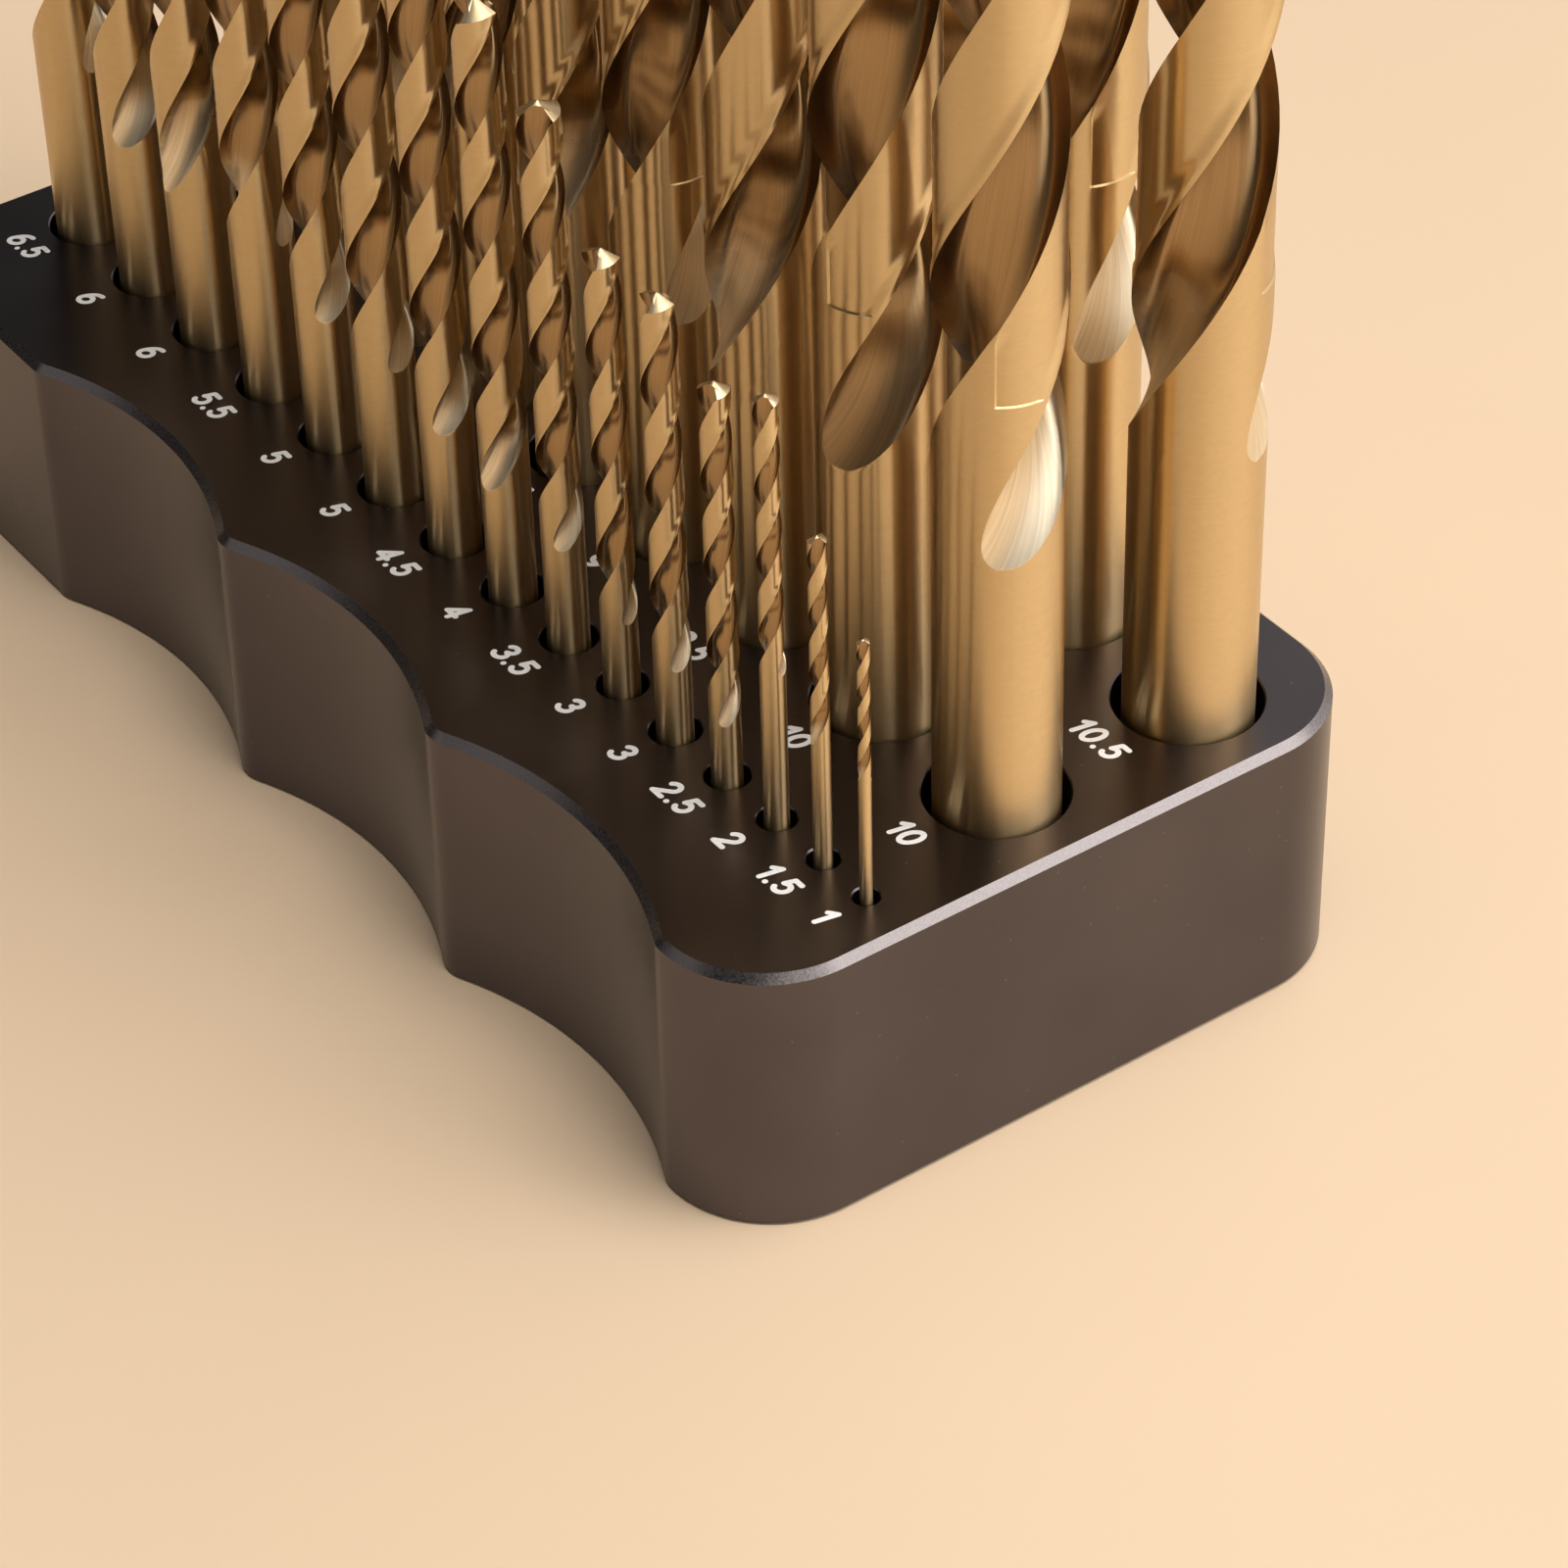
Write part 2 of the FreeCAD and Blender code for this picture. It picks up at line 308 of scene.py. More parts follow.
def streak_group():
    """Fine grinding lines in a UV map laid out in millimetres: dense across them, slow along them."""
    name = "Grinding Lines"
    if name in bpy.data.node_groups:
        return bpy.data.node_groups[name]
    sheet, given, wanted = new_group(
        name,
        [("Across per mm", "NodeSocketFloat", 0.1), ("Along per mm", "NodeSocketFloat", 6.0)],
        [("Fine", "NodeSocketFloat"), ("Broad", "NodeSocketFloat")],
    )
    uv = sheet.add("ShaderNodeUVMap", uv_map="UVMap").outputs[0]
    parts = sheet.add("ShaderNodeSeparateXYZ", {0: uv}).outputs
    across = sheet.math("MULTIPLY", parts[0], given["Across per mm"])
    along = sheet.math("MULTIPLY", parts[1], given["Along per mm"])
    point = sheet.add("ShaderNodeCombineXYZ", {0: across, 1: along}).outputs[0]
    fine = sheet.add("ShaderNodeTexNoise", {"Vector": point, "Scale": 1.0, "Detail": 5.0, "Roughness": 0.65})
    broad = sheet.add("ShaderNodeTexNoise", {"Vector": point, "Scale": 0.13, "Detail": 2.0})
    sheet.tree.links.new(fine.outputs["Fac"], wanted["Fine"])
    sheet.tree.links.new(broad.outputs["Fac"], wanted["Broad"])
    return sheet.tree


def grain_group():
    """Matt grain of blasted or coated metal: a fine height and a slow cloud."""
    name = "Coating Grain"
    if name in bpy.data.node_groups:
        return bpy.data.node_groups[name]
    outputs = [("Grain", "NodeSocketFloat"), ("Cloud", "NodeSocketFloat")]
    sheet, given, wanted = new_group(name, [("Scale", "NodeSocketFloat", 5000.0)], outputs)
    place = sheet.add("ShaderNodeTexCoord").outputs["Object"]
    grain = sheet.add("ShaderNodeTexNoise", {"Vector": place, "Scale": given["Scale"], "Detail": 2.0})
    cloud = sheet.add("ShaderNodeTexNoise", {"Vector": place, "Scale": 60.0, "Detail": 3.0})
    sheet.tree.links.new(grain.outputs["Fac"], wanted["Grain"])
    sheet.tree.links.new(cloud.outputs["Fac"], wanted["Cloud"])
    return sheet.tree


def group_node(sheet, tree, inputs):
    """Outputs of a node that uses a group."""
    node = sheet.add("ShaderNodeGroup", node_tree=tree)
    for key, value in inputs.items():
        sheet.feed(node.inputs[key], value)
    return node.outputs


def new_material(name):
    """Material with a sheet of nodes, its Principled shader linked to the output."""
    material = bpy.data.materials.new(name)
    material.use_nodes = True
    sheet = NodeSheet(material.node_tree)
    shader = sheet.add("ShaderNodeBsdfPrincipled")
    sheet.add("ShaderNodeOutputMaterial", {"Surface": shader.outputs[0]})
    return material, sheet, shader


def lighter(colour, factor):
    return tuple(min(1.0, part * factor) for part in colour)


def toned(sheet, height, low, high, colour, dark, light):
    """A colour that goes from a darker to a lighter tone of it as a height goes from low to high."""
    return sheet.mix(sheet.ramp(height, low, high), lighter(colour, dark), lighter(colour, light))


def dress_metal(sheet, shader, colour, roughness, height, strength, depth):
    """Wires a metal's colour and roughness, and a bump from a height, its strength and depth in metres."""
    bump = sheet.add("ShaderNodeBump", {"Height": height, "Strength": strength, "Distance": depth})
    for socket, value in (("Base Color", colour), ("Roughness", roughness), ("Normal", bump.outputs[0])):
        sheet.feed(shader.inputs[socket], value)
    shader.inputs["Metallic"].default_value = 1.0


def stretch_highlights(sheet, shader, anisotropy, rotation):
    """Stretches a metal's highlights in a direction turned from the one around the Z axis."""
    shader.inputs["Anisotropic"].default_value = anisotropy
    shader.inputs["Anisotropic Rotation"].default_value = rotation
    tangent = sheet.add("ShaderNodeTangent", direction_type="RADIAL", axis="Z")
    sheet.feed(shader.inputs["Tangent"], tangent.outputs[0])


DUST_COLOUR = (0.30, 0.28, 0.26)


def coated_finish(settings):
    """Dark satin coating with fine grain, faint clouds and a little dust."""
    material, sheet, shader = new_material("dark_coating")
    grain = group_node(sheet, grain_group(), {"Scale": 4200.0})
    place = sheet.add("ShaderNodeTexCoord").outputs["Object"]
    dust = group_node(sheet, speck_group(), {"Vector": place, "Scale": 2200.0, "Share": 0.004})["Mask"]
    base = toned(sheet, grain["Cloud"], 0.35, 0.65, settings.coating, 0.92, 1.08)
    colour = sheet.mix(sheet.math("MULTIPLY", dust, 0.5), base, DUST_COLOUR)
    clouded = sheet.ramp(grain["Cloud"], 0.3, 0.7, 0.27, 0.33)
    rough = sheet.math("ADD", clouded, sheet.math("MULTIPLY", dust, 0.3))
    dress_metal(sheet, shader, colour, rough, grain["Grain"], 0.10, 0.00003)
    return material


def bevel_finish(settings):
    """Cut bevel, paler than the coating, with a sparkling grain."""
    material, sheet, shader = new_material("cut_bevel")
    grain = group_node(sheet, grain_group(), {"Scale": 5200.0})
    colour = toned(sheet, grain["Grain"], 0.35, 0.65, settings.bevel, 0.87, 1.15)
    rough = sheet.ramp(grain["Grain"], 0.3, 0.7, 0.24, 0.36)
    dress_metal(sheet, shader, colour, rough, grain["Grain"], 0.16, 0.00004)
    return material


def steel_finish(name, colour, roughness, anisotropy, around, along, contrast, bump_strength):
    """Ground steel with mottling and faint lines, by their density per millimetre around and along."""
    material, sheet, shader = new_material(name)
    streaks = group_node(sheet, streak_group(), {"Across per mm": around, "Along per mm": along})
    uv = sheet.add("ShaderNodeUVMap", uv_map="UVMap").outputs[0]
    mottle = sheet.add("ShaderNodeTexNoise", {"Vector": uv, "Scale": 1.4, "Detail": 4.0, "Roughness": 0.6})
    lines, patches = (sheet.math("MULTIPLY", part, 0.5) for part in (streaks["Fine"], mottle.outputs[0]))
    tone = sheet.math("ADD", lines, patches)
    base = toned(sheet, tone, 0.38, 0.62, colour, 1 - contrast, 1 + contrast)
    rough = sheet.ramp(streaks["Fine"], 0.3, 0.7, roughness * 0.96, roughness * 1.04)
    dress_metal(sheet, shader, base, rough, streaks["Fine"], bump_strength, 0.00003)
    stretch_highlights(sheet, shader, anisotropy, 0.25)
    return material


def paint_finish(settings):
    """White number filling with slightly uneven cover."""
    material, sheet, shader = new_material("number_paint")
    grain = group_node(sheet, grain_group(), {"Scale": 2600.0})
    colour = toned(sheet, grain["Grain"], 0.30, 0.45, settings.paint, 0.9, 1.0)
    sheet.feed(shader.inputs["Base Color"], colour)
    sheet.feed(shader.inputs["Roughness"], sheet.ramp(grain["Cloud"], 0.3, 0.7, 0.45, 0.6))
    return material


def floor_finish(settings):
    """Plain pale floor with only the faintest unevenness."""
    material, sheet, shader = new_material("pale_floor")
    place = sheet.add("ShaderNodeTexCoord").outputs["Object"]
    cloud = sheet.add("ShaderNodeTexNoise", {"Vector": place, "Scale": 14.0, "Detail": 3.0}).outputs["Fac"]
    sheet.feed(shader.inputs["Base Color"], toned(sheet, cloud, 0.3, 0.7, settings.floor, 0.985, 1.015))
    sheet.feed(shader.inputs["Roughness"], sheet.ramp(cloud, 0.3, 0.7, 0.55, 0.65))
    return material


def arc_points(centre_x, centre_y, radius, start, end, count):
    """Points along an arc, angles in radians, both ends included."""
    points = []
    for step in range(count + 1):
        angle = start + (end - start) * step / count
        points.append((centre_x + radius * math.cos(angle), centre_y + radius * math.sin(angle)))
    return points


# Steps along each of the block's corners, cusps and hollows
CORNER_STEPS, CUSP_STEPS, HOLLOW_STEPS = 24, 12, 40

# Steps round a hole, and round one for a drill over a diameter
NARROW_HOLE_STEPS, WIDE_HOLE_STEPS, WIDE_DRILL = 40, 64, 3.2 * MM


def block_outline(settings, inset):
    """Plan of the block, drawn in from its sides by inset, always with the same number of points."""
    half_length, half_width = BLOCK_HIGH[0], BLOCK_HIGH[1]
    radius = settings.corner_radius
    corner_x, corner_y = half_length - radius, half_width - radius
    quarter = math.pi / 2
    reach = settings.scallop_radius + settings.cusp_radius
    lean = math.asin(settings.scallop_pitch / 2 / reach)
    cusp_y = settings.cusp_radius - half_width
    scallop_y = cusp_y - reach * math.cos(lean)
    count = settings.scallop_count

    def corner(x, y, first, last):
        return arc_points(x, y, radius - inset, first, last, CORNER_STEPS)

    points = corner(corner_x, corner_y, 0, quarter) + corner(-corner_x, corner_y, quarter, 2 * quarter)
    points += corner(-corner_x, -corner_y, 2 * quarter, 3 * quarter)
    for number in reversed(range(count + 1)):
        cusp_x = corner_x - number * settings.scallop_pitch
        first = -quarter - (lean if number < count else 0)
        last = -quarter + (lean if number > 0 else 0)
        cusp = arc_points(cusp_x, cusp_y, settings.cusp_radius - inset, first, last, CUSP_STEPS)
        points += cusp[1:] if number < count else cusp
        if number > 0:
            hollow_x = cusp_x + settings.scallop_pitch / 2
            hollow_radius = settings.scallop_radius + inset
            first, last = quarter + lean, quarter - lean
            points += arc_points(hollow_x, scallop_y, hollow_radius, first, last, HOLLOW_STEPS)[1:]
    points += corner(corner_x, -corner_y, -quarter, 0)[1:]
    return points


def drill_sizes():
    """Name, diameter, place, foot and tip of each drill in the frame, in metres."""
    sizes = []
    for name in DRILL_TURNS:
        low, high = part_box(name)
        diameter = float(name[len("drill_"):].split("mm")[0].replace("_", "."))
        x, y = (low[0] + high[0]) / 2, (low[1] + high[1]) / 2
        sizes.append((name, diameter * MM, x, y, low[2], high[2]))
    return sizes


def helix_angle(diameter):
    return next(angle for largest, angle in HELIX_ANGLES if diameter <= largest * MM)


def hole_radius(settings, diameter):
    return (diameter * (1 + settings.hole_clearance_share) + settings.hole_clearance) / 2


def hole_centre(settings, diameter, x, y):
    """Centre of the hole in which a drill with its axis at x, y leans to one side."""
    lean = settings.rest_share * (hole_radius(settings, diameter) - diameter / 2)
    return x - lean * math.cos(settings.rest_direction), y - lean * math.sin(settings.rest_direction)


def build_block(settings, coating, bevel):
    """Machined block: bevelled outline, base edge break, and blind holes with broken rims."""
    top, bottom = BLOCK_HIGH[2], BLOCK_LOW[2]
    verts, faces, slots = [], [], []

    def ring(points, height):
        first = len(verts)
        verts.extend((x, y, height) for x, y in points)
        return list(range(first, first + len(points)))

    chamfer, broken = settings.top_chamfer, settings.base_break
    base_in = ring(block_outline(settings, broken), bottom)
    base_out = ring(block_outline(settings, 0), bottom + broken)
    wall_top = ring(block_outline(settings, 0), top - chamfer)
    crown_points = block_outline(settings, chamfer)
    crown = ring(crown_points, top)
    for lower, upper, slot in ((base_in, base_out, 0), (base_out, wall_top, 0), (wall_top, crown, 1)):
        strip = ring_strip(lower, upper)
        faces += strip
        slots += [slot] * len(strip)
    faces.append(tuple(reversed(base_in)))
    slots.append(0)

    flat_points = [Vector(point) for point in crown_points]
    loops = [list(range(len(crown_points)))]
    numbers = list(crown)
    for _, diameter, x, y, foot, _ in drill_sizes():
        radius = hole_radius(settings, diameter)
        x, y = hole_centre(settings, diameter, x, y)
        rim = settings.rim_break
        steps = WIDE_HOLE_STEPS if diameter > WIDE_DRILL else NARROW_HOLE_STEPS
        circles = []
        for size, height in ((radius + rim, top), (radius, top - rim), (radius, foot)):
            circles.append(ring(arc_points(x, y, size, 0, 2 * math.pi, steps)[:-1], height))
        outer, neck, floor = circles
        strip = ring_strip(neck, outer)
        faces += strip
        slots += [2] * len(strip)
        strip = ring_strip(floor, neck)
        faces += strip + [tuple(floor)]
        slots += [0] * (len(strip) + 1)
        loops.append(list(range(len(flat_points), len(flat_points) + steps)))
        flat_points += [Vector(verts[number][:2]) for number in outer]
        numbers += outer
    edges = [(loop[i - 1], loop[i]) for loop in loops for i in range(len(loop))]
    points, _, triangles, origins, _, _ = geometry.delaunay_2d_cdt(flat_points, edges, [], 0, MERGED)
    loop_of = [number for number, loop in enumerate(loops) for _ in loop]
    border = [Vector(point) for point in crown_points]
    for triangle in triangles:
        touched = {loop_of[origins[corner][0]] for corner in triangle}
        middle = sum((points[corner] for corner in triangle), Vector((0, 0))) / 3
        in_a_hole = len(touched) == 1 and 0 not in touched
        if in_a_hole or not inside(middle, border):
            continue
        corners = [numbers[origins[corner][0]] for corner in triangle]
        a, b, c = (Vector(verts[corner][:2]) for corner in corners)
        if (b - a).cross(c - a) < 0:
            corners.reverse()
        faces.append(tuple(corners))
        slots.append(0)
    piece = finish_mesh("coated_block", verts, faces, [coating, bevel, coating], slots, sharp=25)
    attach(piece, "stand")
    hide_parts("block")
    return piece


def inside(point, border):
    """Whether a point lies within a closed line of points."""
    odd = False
    for before, after in zip(border, border[1:] + border[:1]):
        if (before.y > point.y) != (after.y > point.y):
            reach = before.x + (point.y - before.y) * (after.x - before.x) / (after.y - before.y)
            if point.x < reach:
                odd = not odd
    return odd


def bezier(p0, p1, p2, p3, count):
    """Points along a cubic curve from p0 to p3, both ends included."""
    points = []
    for step in range(count + 1):
        t = step / count
        a, b, c, d = (1 - t) ** 3, 3 * t * (1 - t) ** 2, 3 * t * t * (1 - t), t ** 3
        points.append(tuple(a * p0[axis] + b * p1[axis] + c * p2[axis] + d * p3[axis] for axis in (0, 1)))
    return points


# Angle in radians that keeps neighbouring points of a section apart
SLIVER = 0.001

# Height over which a run-out's rounded end is bitten in, in diameters
BITE_LENGTH = 0.2

# Angles in radians over which the land drops to its clearance, at its step and beside the margin
STEP_RAMP = 0.03
MARGIN_RAMP = 0.08

# Flute floor across the drill, in radii: (sideways, outwards) from the margin side to the heel side. It
# overshoots the circle at both ends, so that it can be clipped there.
FLUTE_FLOOR = (
    bezier((-0.705, 0.86), (-0.69, 0.45), (-0.62, 0.262), (-0.40, 0.254), 30)
    + bezier((-0.40, 0.254), (-0.15, 0.25), (0.15, 0.25), (0.45, 0.253), 20)[1:]
    + bezier((0.45, 0.253), (0.70, 0.256), (0.71, 0.34), (0.72, 0.86), 30)[1:]
)

# Angle by which the floor trails the helix: where a flute begins, and from a height in diameters on
FIRST_TRAIL, FULL_TRAIL, TRAIL_HEIGHT = math.radians(2), math.radians(11.5), 0.8

# Half the width that a floor keeps where it doesn't reach into the drill, in its own steps
GRAZE = 0.01


def clipped_floor(lift, heel_radius, count):
    """The flute floor moved outwards by lift, kept inside the drill, whose heel may be cleared, and
    divided evenly."""
    line = [(x, y + lift) for x, y in FLUTE_FLOOR]

    def crossing(order, radius):
        sizes = [math.hypot(*line[i]) - radius for i in order]
        for step in range(1, len(order)):
            if sizes[step] < 0:
                before = sizes[step - 1]
                share = before / (before - sizes[step]) if before > 0 else 0
                return order[step - 1] + share * (order[step] - order[step - 1])
        return None

    first = crossing(range(len(line)), 1.0)
    last = crossing(range(len(line) - 1, -1, -1), heel_radius)
    if first is None or last is None or last <= first:
        lowest = min(range(len(line)), key=lambda i: math.hypot(*line[i]))
        first, last = lowest - GRAZE, lowest + GRAZE
    points = []
    for step in range(count + 1):
        spot = first + (last - first) * step / count
        index = min(int(spot), len(line) - 2)
        part = spot - index
        (x0, y0), (x1, y1) = line[index], line[index + 1]
        points.append((x0 + (x1 - x0) * part, y0 + (y1 - y0) * part))
    return points


def drill_section(lift, trail, land_radius, cleared_from, margin_angle, flute_steps, land_steps):
    """Half of a section in radii as (angle, radius): the flute's points, then those of the land behind it,
    which is cleared to its radius from one angle on and ends with the margin at full radius."""

    def floor_to(heel_radius):
        line = clipped_floor(lift, heel_radius, flute_steps)
        return [(math.atan2(across, out) - trail, math.hypot(across, out)) for across, out in line]

    heel_radius = 1.0
    floor = floor_to(heel_radius)
    if cleared_from <= floor[-1][0]:
        heel_radius = land_radius
        floor = floor_to(heel_radius)
    start = floor[-1][0]
    end = floor[0][0] + math.pi
    rise = end - margin_angle
    split = max(cleared_from, start + SLIVER)
    shares = [step / land_steps for step in range(land_steps + 1)]
    land = [(start + (split - start) * share, heel_radius) for share in shares[1:]]
    split += STEP_RAMP
    land += [(split + (rise - split) * share, land_radius) for share in shares]
    land += [(rise + MARGIN_RAMP, 1.0), ((rise + MARGIN_RAMP + end) / 2, 1.0)]
    return floor, land


# Diameter over which a drill gets the finer mesh and the land's clearance begins at a step
THICK_DRILL = 6.9 * MM

# Steps across a flute, steps along each part of a land, and rings per turn of the helix
THICK_MESH, THIN_MESH = (22, 9, 44), (16, 6, 30)

# Heights over which the land drops to its clearance, in diameters: at a step, and on thin drills
STEP_RISE, THIN_RISE = 0.004, 1.5

# How far out of the drill's full depth a flute's floor begins, in radii, and the share of that at which
# the shank's points are spaced
FIRST_LIFT, SHANK_LIFT = 0.75, 0.985

# Height of the foot's bevel in diameters, and its width in radii
FOOT_BEVEL, FOOT_INSET = 0.06, 0.12

# Gap in diameters between the shank's last ring and the run-out, and the number of the run-out's rings,
# which the last value crowds towards its beginning
SHANK_GAP, RUN_OUT_ROWS, RUN_OUT_CROWDING = 0.02, 30, 1.6

# Relief of the ground point behind its lips, and the rings of points on it as shares of the radius
RELIEF = math.radians(11)
POINT_RINGS = (1.0, 0.72, 0.45, 0.2)

# Shift of each drill's texture, in diameters, so that no two look the same
TEXTURE_SHIFT = 40

# Height in diameters at which a run-out's look has faded out, which takes it one diameter
RUN_OUT_FADED = 1.5


def build_drill(settings, name, diameter, x, y, foot, tip, materials):
    """Twist drill: bevelled foot, round shank, run-outs, twisted flutes with margins, and ground point."""
    radius = diameter / 2
    thick = diameter > THICK_DRILL
    flute_steps, land_steps, rings_per_turn = THICK_MESH if thick else THIN_MESH
    lead = math.pi * diameter / math.tan(math.radians(helix_angle(diameter)))
    cone = 1 / math.tan(settings.point_angle / 2)
    shoulder = tip - radius * cone
    length = round((tip - foot) / MM)
    start = tip - FLUTE_LENGTHS[length] * MM - settings.run_out_past
    run_out = settings.run_out_length * diameter
    turn = math.radians(DRILL_TURNS[name])
    margin_angle = 2 * settings.margin
    step_height = start + settings.step_height * diameter
    step_rise = (STEP_RISE if thick else THIN_RISE) * diameter

    verts, uvs, faces, slots = [], [], [], []

    def add_ring(section, place, twist, scale=1.0):
        """Adds both halves of a section of (angle, share of the radius, height over the place)."""
        first = len(verts)
        for half in range(2):
            for angle, share, rise in section:
                swing = twist + angle + math.pi * half
                reach = radius * share * scale
                height = place + rise
                around = (angle + math.pi * half) * radius / MM + TEXTURE_SHIFT * diameter / MM
                verts.append((x + reach * math.cos(swing), y + reach * math.sin(swing), height))
                uvs.append((around, height / MM))
        return list(range(first, len(verts)))

    def section_at(lift, land_radius, height):
        lag = 2 * math.pi * max(0.0, height - step_height) / lead
        short = max(0.0, 1 - (height - start) / diameter / TRAIL_HEIGHT)
        trail = FULL_TRAIL + (FIRST_TRAIL - FULL_TRAIL) * min(1.0, short) ** 2
        cleared_from = settings.step_direction - lag
        return drill_section(lift, trail, land_radius, cleared_from, margin_angle, flute_steps, land_steps)

    def join(lower, upper, kinds):
        for face, kind in zip(ring_strip(lower, upper), kinds):
            faces.append(face)
            slots.append(kind)

    floor, land = section_at(FIRST_LIFT * SHANK_LIFT, 1.0, foot)
    spread = [(angle, 1.0, 0.0) for angle, _ in floor + land]
    per_half = len(spread)
    round_kinds = [0] * (2 * per_half)
    flute_kinds = ([1] * (len(floor) - 1) + [0] * (per_half - len(floor) + 1)) * 2

    bottom = add_ring([(angle, 1.0 - FOOT_INSET, 0.0) for angle, _, _ in spread], foot, turn)
    faces.append(tuple(reversed(bottom)))
    slots.append(2)
    collar = add_ring(spread, foot + FOOT_BEVEL * diameter, turn)
    join(bottom, collar, round_kinds)
    previous = add_ring(spread, start - SHANK_GAP * diameter, turn)
    join(collar, previous, round_kinds)

    rows = []
    for number in range(1, RUN_OUT_ROWS + 1):
        rows.append(start + run_out * (number / RUN_OUT_ROWS) ** RUN_OUT_CROWDING)
    spacing = lead / rings_per_turn
    count = max(1, round((shoulder - start - run_out) / spacing))
    for number in range(1, count + 1):
        rows.append(start + run_out + (shoulder - start - run_out) * number / count)
    rows += [step_height - STEP_RISE * diameter, step_height + STEP_RISE * diameter]
    rows.sort()
    for height in rows:
        rise = (height - start) / diameter
        shallow = max(0.0, 1 - rise * diameter / run_out) ** 2
        bite = settings.bite * math.sqrt(1 - max(0.0, 1 - rise / BITE_LENGTH) ** 2)
        lift = (FIRST_LIFT - settings.bite) * shallow + settings.bite - bite
        twist = turn + 2 * math.pi * (height - start) / lead
        cleared = max(0.0, min(1.0, (height - step_height) / step_rise))
        floor, land = section_at(lift, 1 - settings.clearance * cleared, height)
        if height < rows[-1]:
            ring = add_ring([(angle, share, 0.0) for angle, share in floor + land], height, twist)
            join(previous, ring, flute_kinds if height > rows[0] else round_kinds)
            previous = ring

    # The point is ground on the last section
    heel_angle, next_lip = floor[-1][0], floor[0][0] + math.pi
    slope = math.tan(RELIEF)
    behind = [(next_lip - heel_angle) * step / (len(floor) - 1) for step in range(len(floor))]
    behind += [next_lip - angle for angle, _ in land]
    for scale in POINT_RINGS:
        ground = []
        for (angle, share), back in zip(floor + land, behind):
            drop = radius * share * scale * (cone + slope * back)
            ground.append((angle, share, -drop))
        ring = add_ring(ground, tip, twist, scale)
        join(previous, ring, flute_kinds if scale == 1.0 else [2] * len(ring))
        previous = ring
    apex = len(verts)
    verts.append((x, y, tip))
    uvs.append((TEXTURE_SHIFT * diameter / MM, tip / MM))
    for number in range(len(previous)):
        faces.append((previous[number], previous[(number + 1) % len(previous)], apex))
        slots.append(2)

    piece = finish_mesh(f"twist_{name}", verts, faces, materials, slots, sharp=35, uvs=uvs)
    # Each drill's share of the painted highlight on its run-outs, lower where they get painted shade
    shade_run_outs(piece, start, diameter, RUN_OUT_HIGHLIGHT_SHARES.get(name, 1.0))
    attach(piece, f"{name}_body")
    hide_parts(name)
    return piece


def shade_run_outs(piece, start, diameter, highlight_share):
    """Stores the run-out, which fades up into the flute, and how much of the painted highlight it gets."""
    values = []
    for vertex in piece.data.vertices:
        rise = (vertex.co.z - start) / diameter
        values.append(max(0.0, min(1.0, RUN_OUT_FADED - rise)))
    for name, share in (("run_out", 1.0), ("run_out_highlight", highlight_share)):
        attribute = piece.data.attributes.new(name, "FLOAT", "POINT")
        attribute.data.foreach_set("value", [share * value for value in values])


def flute_finish(settings):
    """Flute in a darker bronze, painted shade of its hollow, that pales to a painted highlight at its
    run-out, with lines along the helix.
    """
    material, sheet, shader = new_material("flute_steel")
    streaks = group_node(sheet, streak_group(), {"Across per mm": 3.2, "Along per mm": 0.06})
    # Painted light: the darker bronze is painted shade in the flute's hollow, and the pale colour mixed in
    # at the run-out is a painted highlight.
    run_out_highlight = sheet.add("ShaderNodeAttribute", attribute_name="run_out_highlight").outputs["Fac"]
    flute_shade = toned(sheet, streaks["Fine"], 0.34, 0.66, settings.flute, 0.86, 1.12)
    pale = toned(sheet, streaks["Fine"], 0.34, 0.66, settings.run_out_highlight, 0.84, 1.12)
    run_out = sheet.add("ShaderNodeAttribute", attribute_name="run_out").outputs["Fac"]
    rough = sheet.ramp(run_out, 0.0, 1.0, 0.23, 0.40)
    height = sheet.math("MULTIPLY", streaks["Fine"], sheet.ramp(run_out, 0.0, 1.0, 0.15, 1.0))
    dress_metal(sheet, shader, sheet.mix(run_out_highlight, flute_shade, pale), rough, height, 0.35, 0.00005)
    stretch_highlights(sheet, shader, 0.8, 0.0)
    return material


# Degrees between the points of a digit's curves, and steps round the end of a stroke
CURVE_STEP, STROKE_STEPS = 15, 18

# Height in metres of the paint over the block
PAINT_HEIGHT = 0.00002


def oval(centre_x, centre_y, radius_x, radius_y, first, last):
    """Points along an upright ellipse between two angles in degrees."""
    count = max(2, round(abs(last - first) / CURVE_STEP))
    turns = [math.radians(first + (last - first) * step / count) for step in range(count + 1)]
    return [(centre_x + radius_x * math.cos(turn), centre_y + radius_y * math.sin(turn)) for turn in turns]


SIX = oval(0.46, 0.32, 0.46, 0.68, 85, 180) + oval(0.30, 0.30, 0.30, 0.30, 180, 540)[1:]

